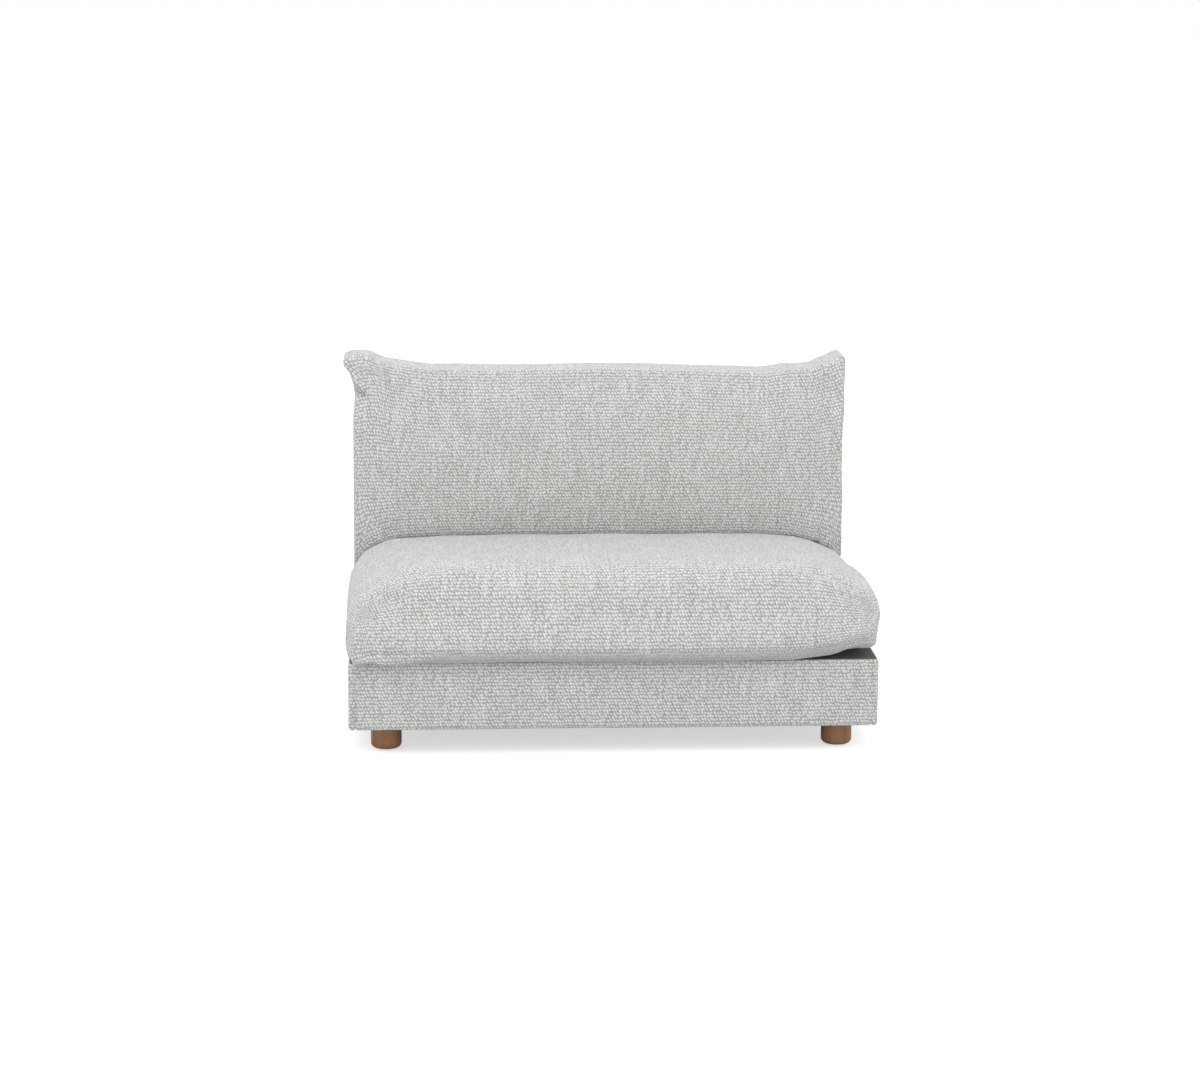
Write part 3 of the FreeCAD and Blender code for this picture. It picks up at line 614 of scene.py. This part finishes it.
dust_finish = plain_cloth("dust_cloth", shade(44, 44, 46), shade(20, 20, 22))
dust = drawn_tight("dust_cloth", "dust_cover", dust_finish)
dust_low, dust_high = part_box("dust_cover")
notch_x = -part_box("foot_plate_front_left")[1].x + DUST_LAP
notch_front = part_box("foot_plate_front_left")[1].y - DUST_LAP
notch_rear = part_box("foot_plate_rear_left")[0].y + DUST_LAP
bpy.ops.object.mode_set(mode="EDIT")
for place, normal in (((notch_x, 0, 0), (1, 0, 0)), ((-notch_x, 0, 0), (1, 0, 0)),
                      ((0, notch_front, 0), (0, 1, 0)), ((0, notch_rear, 0), (0, 1, 0))):
    bpy.ops.mesh.select_all(action="SELECT")
    bpy.ops.mesh.bisect(plane_co=place, plane_no=normal)


def in_notch(face):
    """Whether a face is in one of the four corners that are cut away."""
    spot = face.calc_center_median()
    return abs(spot.x) > notch_x and not notch_front < spot.y < notch_rear


choose("FACE", in_notch)
bpy.ops.mesh.delete(type="FACE")
bpy.ops.object.mode_set(mode="OBJECT")
thicken(dust, dust_high.z - dust_low.z)
carry(dust, "base", "dust_cloth", "dust_cover")

# Back cover: five panels of the cover cloth, sewn together and drawn over the leaning back
# frame, the front over foam, and the top, the ends and the rear over wadding.

BACK_FORM_CELLS = (66, 8, 24)
TOP_SEAM_DROP = 0.015
FRONT_TURN_IN = 0.04
REAR_TURN_IN = 0.008

low = Vector((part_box("back_cover_left")[0].x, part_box("back_cover_left")[0].y,
              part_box("back_cover_left")[0].z))
high = Vector((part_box("back_cover_right")[1].x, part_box("back_cover_left")[1].y,
               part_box("back_cover_left")[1].z))
back_form = block("back_form", low, high, BACK_FORM_CELLS)
lean = (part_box("back_cover_front")[1].y - low.y) / (high.z - low.z)
for point in back_form.data.vertices:
    share = (high.y - point.co.y) / (high.y - low.y)
    point.co.y += share * lean * (point.co.z - low.z)
round_edges(back_form, lambda spot: spot.z > low.z + HAIR)
TOP_SEAM = (0, 0, high.z - TOP_SEAM_DROP)
BELOW_TOP_SEAM = (TOP_SEAM, (0, 0, -1))
ABOVE_TOP_SEAM = (TOP_SEAM, (0, 0, 1))
BEHIND_FRONT = ((0, low.y + FRONT_TURN_IN, low.z), (0, 1, -lean))
BEFORE_REAR = ((0, high.y - REAR_TURN_IN, 0), (0, -1, 0))
panel("back_panel_left", back_form, (BEYOND_LEFT_SEAM,))
panel("back_panel_right", back_form, (BEYOND_RIGHT_SEAM,))
panel("back_panel_top", back_form, (LEFT_OF_SEAM, RIGHT_OF_SEAM, BELOW_TOP_SEAM))
panel("back_panel_front", back_form, (LEFT_OF_SEAM, RIGHT_OF_SEAM, ABOVE_TOP_SEAM, BEHIND_FRONT))
panel("back_panel_rear", back_form, (LEFT_OF_SEAM, RIGHT_OF_SEAM, ABOVE_TOP_SEAM, BEFORE_REAR))
bpy.data.objects.remove(back_form)

# Seat cushion: a foam core wrapped in fibre, in a cover of the woven cloth. The top runs over
# the front without a seam, and a fine seam joins it to the underside low on the front.

SEAT_CELLS = (100, 67, 18)
END = 1000
END_HOLD = 0.6
SWELL_FRAMES = 20
PRESSURE = 4
CREASE = 0.0022
CREASE_LENGTH = 0.16
FINE_CREASE = 0.4
# Each part of the shape grows from nothing at one place across, along or up to all at another.
SEAT_SPREAD = 1.008
SEAT_FORWARD = 0.013
FORWARD_ALONG = (-0.15, -0.40)
REAR_SINK = 0.015
SINK_ALONG = (-0.30, 0.10)
SINK_ENDS_ALONG = (0.20, 0.27)
SINK_KEPT = 0.1
SINK_UP = (0.30, 0.38)
CREST = 0.034
CREST_ALONG = (-0.18, -0.38)
CREST_UP = (0.34, 0.40)
CREST_ACROSS = (0.65, 0.49)
END_SQUARE = 0.012
SQUARE_ACROSS = (0.585, 0.635)
SQUARE_UP = (0.305, 0.255)
LIFT = 0.026
LIFT_ACROSS = (0.42, 0.66)
LIFT_ALONG = (-0.1, -0.4)
LIFT_UP = (0.36, 0.24)
ROLL_FORWARD = 0.022
ROLL_ALONG = (-0.43, -0.46)
ROLL_UP = (0.37, 0.26)
ROLL_SQUARE = 0.010
ROLL_HANG = 0.006
HANG_ALONG = (-0.462, -0.472)
HANG_UP = (0.30, 0.24)
HANG_ACROSS = (0.55, 0.20)
DECK_FRONT = -0.455
CORE_TOP = 0.36
CORE_MARGIN = 0.004
CORE_COVER = 0.003
SEAT_SEAM_UP = 0.264
SEAT_SEAM_REACH = 0.008
SEAT_SEAM_DEPTH = 0.004
SEAT_SEAM_ALONG = (-0.40, -0.45)
# Where the strip of the front below the fine seam starts. It takes a darker copy of the cover
# cloth: painted shade where the lip curls under.
SMOOTH_DROP = 0.03
SMOOTH_DROP_ACROSS = (-0.42, -0.54)
SMOOTH_FRONT = -0.44
UNDERSIDE = -0.7
# Where the filling pushes the cover: the place, how far round it that reaches, and the push.
FULL_PLACES = (((0.64, -0.36, 0.39), (0.16, 0.30, 0.11), (0.014, 0, 0.014)),
               ((-0.65, -0.40, 0.42), (0.12, 0.30, 0.08), (-0.006, 0, 0.004)),
               ((-0.65, -0.42, 0.25), (0.10, 0.24, 0.06), (-0.004, 0, 0)),
               ((-0.60, 0.15, 0.42), (0.12, 0.30, 0.08), (0, 0, 0.010)))
LEFT_LIP = ((-0.60, -0.478, 0.245), (0.14, 0.040, 0.06), (0, -0.003, -0.008))


def swell(form, limit):
    """Lets pressure fill the cover between its seams, no point moving past its limit."""
    start = [point.co.copy() for point in form.data.vertices]
    cloth = form.modifiers.new("cover", "CLOTH")
    cloth.settings.vertex_group_mass = "seams"
    cloth.settings.use_pressure = True
    cloth.settings.uniform_pressure_force = PRESSURE
    cloth.settings.effector_weights.gravity = 0
    for number in range(1, SWELL_FRAMES + 1):
        bpy.context.scene.frame_set(number)
    bpy.ops.object.modifier_apply(modifier=cloth.name)
    bpy.context.scene.frame_set(1)
    for point, place in zip(form.data.vertices, start):
        move = point.co - place
        if move.length > limit:
            point.co = place + move * (limit / move.length)


def points_of(piece):
    """The places of a piece's points, one row each."""
    places = np.empty(len(piece.data.vertices) * 3)
    piece.data.vertices.foreach_get("co", places)
    return places.reshape(-1, 3)


def number_squares(form, grid, cells):
    """Numbers the squares across, and up the front, over the top and down the rear. The squares
    of the two ends are numbered from front to rear, on from END and from twice END."""
    _, deep, tall = cells
    layer = form.data.uv_layers.new(name="weave")
    for face in form.data.polygons:
        places = grid[list(face.vertices)]
        flat = [len(set(places[:, axis])) == 1 for axis in range(3)]
        for loop, (i, j, k) in zip(face.loop_indices, places):
            if flat[0]:
                spot = (END if i == 0 else 2 * END) + j, k
            elif flat[1]:
                spot = i, k if j == 0 else 2 * tall + deep - k
            else:
                spot = i, tall + j if k else 2 * tall + 2 * deep - j
            layer.data[loop].uv = spot


def lengths(points, axis):
    """How far each point is along its line of points."""
    steps = np.linalg.norm(np.diff(points, axis=axis), axis=-1).cumsum(axis)
    return np.concatenate((np.zeros_like(steps.take([0], axis)), steps), axis)


def between(table, first, second):
    """Reads a table at places between its entries."""
    row, column = first.astype(int), second.astype(int)
    table = np.pad(table, ((0, 1), (0, 1)), "edge")
    near = table[row, column] * (1 - second % 1) + table[row, column + 1] * (second % 1)
    far = table[row + 1, column] * (1 - second % 1) + table[row + 1, column + 1] * (second % 1)
    return near * (1 - first % 1) + far * (first % 1)


def lay_in_rows(piece, grid, cells):
    """Lays the weave by the numbers of the squares, now that they have their shape. Each row
    and column counts as wide as its squares are on average."""
    wide, deep, tall = cells
    look = np.zeros((wide + 1, deep + 1, tall + 1), int)
    look[tuple(grid.T)] = np.arange(len(grid))
    ring_along = [0] * tall + list(range(deep)) + [deep] * tall + list(range(deep, -1, -1))
    ring_up = list(range(tall)) + [tall] * deep + list(range(tall, 0, -1)) + [0] * (deep + 1)
    ring = points_of(piece)[look[:, ring_along, ring_up]]
    rows, columns = lengths(ring, 1).mean(0), lengths(ring, 0).mean(1)
    layer = piece.data.uv_layers["weave"]
    numbers = np.empty(len(layer.data) * 2)
    layer.data.foreach_get("uv", numbers)
    numbers = numbers.reshape(-1, 2)
    across = np.interp(numbers[:, 0], range(len(columns)), columns)
    up = np.interp(numbers[:, 1], range(len(rows)), rows)
    for start, side in ((END, 0), (2 * END, wide)):
        end = points_of(piece)[look[side]]
        here = np.abs(numbers[:, 0] - start) < END / 2
        spot = numbers[here, 0] - start, numbers[here, 1]
        across[here] = between(lengths(end, 0), *spot)
        up[here] = between(lengths(end, 1), *spot)
    layer.data.foreach_set("uv", np.column_stack((across, up)).ravel())


def stuffed(name, node, cells, seamed, slack, limit):
    """A closed form of even squares drawn onto a cushion's shape and swelled by pressure.
    seamed says how firmly a seam holds a point of the box round the cushion, from 0 to 1."""
    low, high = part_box(node)
    form = block(name, low, high, cells)
    grid = np.rint((points_of(form) - low) / (high - low) * cells).astype(int)
    number_squares(form, grid, cells)
    seams = form.vertex_groups.new(name="seams")
    ridge = form.vertex_groups.new(name="ridge")
    free = form.vertex_groups.new(name="free")
    for point in form.data.vertices:
        share = [round(2 * (point.co[axis] - low[axis]) / (high[axis] - low[axis]) - 1, 3)
                 for axis in range(3)]
        hold = seamed(*share)
        if hold:
            seams.add([point.index], hold, "REPLACE")
        (ridge if hold == 1 else free).add([point.index], 1, "REPLACE")
    alone(form)
    for offset, group in ((0, "ridge"), (-slack, "free")):
        wrap = form.modifiers.new("to_shape", "SHRINKWRAP")
        wrap.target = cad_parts[node]
        wrap.wrap_method = "NEAREST_SURFACEPOINT"
        wrap.offset = offset
        wrap.vertex_group = group
        bpy.ops.object.modifier_apply(modifier=wrap.name)
    smooth = form.modifiers.new("smooth", "SMOOTH")
    smooth.factor = 0.5
    smooth.iterations = 10
    smooth.vertex_group = "free"
    bpy.ops.object.modifier_apply(modifier=smooth.name)
    swell(form, limit)
    finer = form.modifiers.new("finer", "SUBSURF")
    finer.levels = 1
    finer.render_levels = 1
    bpy.ops.object.modifier_apply(modifier=finer.name)
    return form, grid


def put_points(piece, places):
    """Moves a piece's points to their new places."""
    piece.data.vertices.foreach_set("co", places.ravel())
    piece.data.update()


def ramp(value, start, end):
    """From 0 at start to 1 at end, setting out and arriving gently."""
    share = np.clip((value - start) / (end - start), 0, 1)
    return share * share * (3 - 2 * share)


def press(places, spot, reach, move):
    """Moves the points round a spot, less and less out to its reach along each axis."""
    away = np.sqrt((((places - spot) / reach) ** 2).sum(1))
    places += ramp(away, 1, 0)[:, None] * np.array(move)


def seat_seam(across, along, up):
    """The ends of the cushion are held, and the long panel runs free round its front."""
    return END_HOLD if abs(across) == 1 and (abs(along) == 1 or abs(up) == 1) else 0


def crumple(piece, places):
    """Lets the cover wander a little in and out, as loose cloth does."""
    normals = np.empty(len(piece.data.vertices) * 3)
    piece.data.vertices.foreach_get("normal", normals)
    wander = [unevenness(spot, CREASE_LENGTH)
              + FINE_CREASE * unevenness(spot, CREASE_LENGTH / 3) for spot in places]
    places += CREASE * np.array(wander)[:, None] * normals.reshape(-1, 3)


seat, seat_grid = stuffed("seat_cushion", "seat_cushion_cover", SEAT_CELLS, seat_seam,
                          slack=0.007, limit=0.009)
settle(seat, "seat_cushion", cover_cloth)
places = points_of(seat)
crumple(seat, places)
across, along, up = places.T
across *= SEAT_SPREAD
along -= SEAT_FORWARD * ramp(along, *FORWARD_ALONG)
sink = ramp(along, *SINK_ALONG) * (1 - (1 - SINK_KEPT) * ramp(along, *SINK_ENDS_ALONG))
up -= REAR_SINK * sink * ramp(up, *SINK_UP)
crest = ramp(along, *CREST_ALONG) * ramp(up, *CREST_UP)
up += CREST * crest * ramp(np.abs(across), *CREST_ACROSS)
for spot, reach, push in FULL_PLACES:
    press(places, spot, reach, push)
corner = ramp(np.abs(across), *SQUARE_ACROSS) * ramp(up, *SQUARE_UP)
across += np.sign(across) * END_SQUARE / 2 * corner
up -= END_SQUARE * corner
deck_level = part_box("seat_cushion_cover")[0].z
up[:] = np.maximum(up, deck_level)
lift = LIFT * ramp(across, *LIFT_ACROSS) * ramp(along, *LIFT_ALONG)
up += lift * ramp(up, *LIFT_UP)
along -= ROLL_FORWARD * ramp(along, *ROLL_ALONG) * ramp(up, *ROLL_UP)
hang = ramp(along, *HANG_ALONG) * ramp(up, *HANG_UP) * ramp(across, *HANG_ACROSS)
along -= ROLL_SQUARE * hang
up -= ROLL_HANG * hang
press(places, *LEFT_LIP)
off_seam = np.abs(up - SEAT_SEAM_UP - lift)
seam = ramp(off_seam, SEAT_SEAM_REACH, 0) * ramp(along, *SEAT_SEAM_ALONG)
along += SEAT_SEAM_DEPTH * seam
over_deck = along > DECK_FRONT
up[over_deck] = np.maximum(up[over_deck], deck_level)
core_low, core_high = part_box("seat_foam_core")
over_core = ((up > CORE_TOP) & (np.abs(across) < core_high.x + CORE_MARGIN)
             & (along > core_low.y) & (along < core_high.y + CORE_MARGIN))
up[over_core] = np.maximum(up[over_core], core_high.z + CORE_COVER)
put_points(seat, places)
lay_in_rows(seat, seat_grid, SEAT_CELLS)
# The faces that look down, and the strip below the fine seam, get a calmer, darker copy of the
# cover cloth: a smoother underside panel, with painted shade where the lip curls under.
seat.data.materials.append(woven("under_cloth_painted_shade", CLOTH_DARK, shade(198, 198, 196), RELIEF / 4))
for face in seat.data.polygons:
    spot = face.center
    seam_up = SEAT_SEAM_UP + LIFT * ramp(spot.x, *LIFT_ACROSS)
    seam_up -= SMOOTH_DROP * ramp(spot.x, *SMOOTH_DROP_ACROSS)
    below_seam = spot.y < SMOOTH_FRONT and spot.z < seam_up
    face.material_index = int(face.normal.z < UNDERSIDE or below_seam)
bpy.ops.object.shade_smooth()
carry(seat, "seat_cushion", "cover_cloth", "seat_cushion_cover")

# Back cushion: fibre fill in a boxed cover of the same cloth, sewn along every edge. Its upper
# corners are pinched up into ears, and the top dips between them.

BACK_CELLS = (100, 18, 42)
# How far the top dips at places across, and how far each end is drawn in at places up.
TOP_DIPS = ((-0.67, 0.028), (-0.652, 0.016), (-0.64, 0.006), (-0.628, 0.002), (-0.61, -0.003),
            (-0.59, -0.004), (-0.55, 0.010), (-0.44, 0.021), (-0.30, 0.023),
            (0, 0.018), (0.16, 0.021), (0.43, 0.033), (0.50, 0.026), (0.57, 0.029),
            (0.60, 0.019), (0.62, 0.017), (0.64, 0.010), (0.66, 0.010))
LEFT_PULLS = ((0.42, 0.004), (0.50, 0.001), (0.66, -0.001), (0.72, 0.001), (0.755, 0.005),
              (0.786, 0.009), (0.816, 0.007), (0.847, 0.000), (0.862, -0.014), (0.875, -0.019),
              (0.89, -0.013))
RIGHT_PULLS = ((0.786, 0.002), (0.816, 0.003), (0.847, 0.005), (0.878, 0.002))
DIP_UP = (0.52, 0.86)
PULL_ACROSS = (0.42, 0.62)
# The two pleats at the left ear: where each starts and ends, its width and its depth.
PLEATS = (((-0.67, 0.812), (-0.622, 0.788), 0.016, 0.026),
          ((-0.622, 0.775), (-0.565, 0.660), 0.022, 0.006))
PLEAT_ALONG = (0.26, 0.21)
# The lower part is laid on the seat cushion, and sags over its rounded ends.
REST_REACH = 0.14
REST_GAP = 0.001
ABOVE_SEAT = 0.01
CORNER_SAG = 0.060
SEAT_EDGE = 0.012
REAR_EDGE = 0.030
REAR_NARROWING = 0.035
NARROWING_ALONG = (0.20, 0.27)


def pleat(places, start, end, width, depth):
    """Draws the front in along a line from start to end, given across and up."""
    start, end = np.array(start), np.array(end)
    flat = places[:, [0, 2]]
    share = np.clip((flat - start) @ (end - start) / ((end - start) ** 2).sum(), 0, 1)
    away = np.linalg.norm(flat - start - share[:, None] * (end - start), axis=1)
    front = ramp(places[:, 1], *PLEAT_ALONG)
    places[:, 1] += depth * front * ramp(away, width, 0)


def back_seam(across, along, up):
    """Seams run along every edge of the box."""
    return int((abs(across) == 1) + (abs(along) == 1) + (abs(up) == 1) > 1)


back, back_grid = stuffed("back_cushion", "back_cushion_cover", BACK_CELLS, back_seam,
                          slack=0.010, limit=0.012)
settle(back, "back_cushion", cover_cloth)
places = points_of(back)
crumple(back, places)
across, along, up = places.T
up -= np.interp(across, *zip(*TOP_DIPS)) * ramp(up, *DIP_UP)
for side, pulls in ((-1, LEFT_PULLS), (1, RIGHT_PULLS)):
    pull = np.interp(up, *zip(*pulls))
    across -= side * pull * ramp(side * across, *PULL_ACROSS)
for start, end, width, depth in PLEATS:
    pleat(places, start, end, width, depth)
support = BVHTree.FromPolygons([point.co for point in seat.data.vertices],
                               [face.vertices for face in seat.data.polygons])
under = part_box("back_cushion_cover")[0].z
seat_across, seat_along, seat_up = points_of(seat).max(0)
for row in np.nonzero(up < under + REST_REACH)[0]:
    reach = seat_across - SEAT_EDGE - REAR_NARROWING * ramp(along[row], *NARROWING_ALONG)
    spot = Vector((np.clip(across[row], -reach, reach),
                   min(along[row], seat_along - REAR_EDGE), seat_up + ABOVE_SEAT))
    hit = support.ray_cast(spot, Vector((0, 0, -1)))[0] or support.find_nearest(spot)[0]
    drop = max(hit.z + REST_GAP - under, -CORNER_SAG)
    up[row] += drop * ramp(up[row], under + REST_REACH, under)
put_points(back, places)
lay_in_rows(back, back_grid, BACK_CELLS)
bpy.ops.object.shade_smooth()
carry(back, "back_cushion", "cover_cloth", "back_cushion_cover")

# Floor: the plain white floor of a studio, which keeps the shadow of the module. It glows a
# little to the camera, so that it runs into the white background.

FLOOR_SPREAD = 40
FLOOR_GLOW = 0.6

white = Finish("white_floor", roughness=0.9)
speck = white.cloud(white.place(), scale=3, detail=2)
white.coat(white.blend(speck, shade(208, 208, 208), shade(212, 212, 212)))
seen = white.node("LightPath", {}, {}, "Is Camera Ray")
glow = white.node("Emission", {}, {"Strength": seen * FLOOR_GLOW})
both = white.node("AddShader", {}, (Wire(white, white.shader.outputs[0]), glow))
white.feed(white.tree.nodes["Material Output"].inputs[0], both)
bpy.ops.object.select_all(action="DESELECT")
bpy.ops.mesh.primitive_plane_add(size=FLOOR_SPREAD, location=(0, 0, 0))
floor = settle(bpy.context.object, "floor", white.material)

# Studio: even white light from all round, and a white background where the camera, a mirror or
# a clear surface shows it.

PURE_WHITE = (1, 1, 1, 1)
SKY_LIGHT = 1.12

world = bpy.data.worlds.new("studio")
world.use_nodes = True
bpy.context.scene.world = world
studio = Graph(world.node_tree)
light = studio.tree.nodes["Background"]
light.inputs["Color"].default_value = PURE_WHITE
light.inputs["Strength"].default_value = SKY_LIGHT
seen, mirrored, through = [studio.node("LightPath", {}, {}, f"Is {kind} Ray")
                           for kind in ("Camera", "Glossy", "Transmission")]
backdrop = studio.node("Background", {}, {"Color": PURE_WHITE, "Strength": 1})
shown = seen.of("MAXIMUM", mirrored).of("MAXIMUM", through)
sky = studio.node("MixShader", {}, (shown, Wire(studio, light.outputs[0]), backdrop))
studio.feed(studio.tree.nodes["World Output"].inputs[0], sky)

# Key lamp: one square soft box, high in front and a little to the left, aimed at the middle of
# the module. It gives the soft shade under the seat cushion's lip.

KEY_PLACE = Vector((-0.8, -3.0, 4.7))
KEY_AIM = Vector((0, 0, 0.4))
KEY_SIZE = 2.2
KEY_POWER = 38

key = bpy.data.lights.new("key_lamp", "AREA")
key.size = KEY_SIZE
key.energy = KEY_POWER
lamp = bpy.data.objects.new("key_lamp", key)
lamp.location = KEY_PLACE
lamp.rotation_euler = (KEY_AIM - KEY_PLACE).to_track_quat("-Z", "Y").to_euler()
bpy.context.scene.collection.objects.link(lamp)

# Camera: a long lens a little above a standing eye and left of the middle, turned to the right
# and down towards the module. Its angles are in degrees.

LENS_LENGTH = 90
FILM_WIDTH = 36
VIEWPOINT = (-0.479, -7.57, 2.003)
TURNED_RIGHT = 3.544
TURNED_DOWN = 11.499
ROLLED = 0.369

camera = bpy.data.cameras.new("camera")
camera.lens = LENS_LENGTH
camera.sensor_width = FILM_WIDTH
viewer = bpy.data.objects.new("camera", camera)
viewer.matrix_world = (Matrix.Translation(VIEWPOINT)
                       @ Matrix.Rotation(math.radians(-TURNED_RIGHT), 4, "Z")
                       @ Matrix.Rotation(math.radians(90 - TURNED_DOWN), 4, "X")
                       @ Matrix.Rotation(math.radians(ROLLED), 4, "Z"))
bpy.context.scene.collection.objects.link(viewer)
bpy.context.scene.camera = viewer
bpy.context.scene.view_settings.view_transform = "Standard"
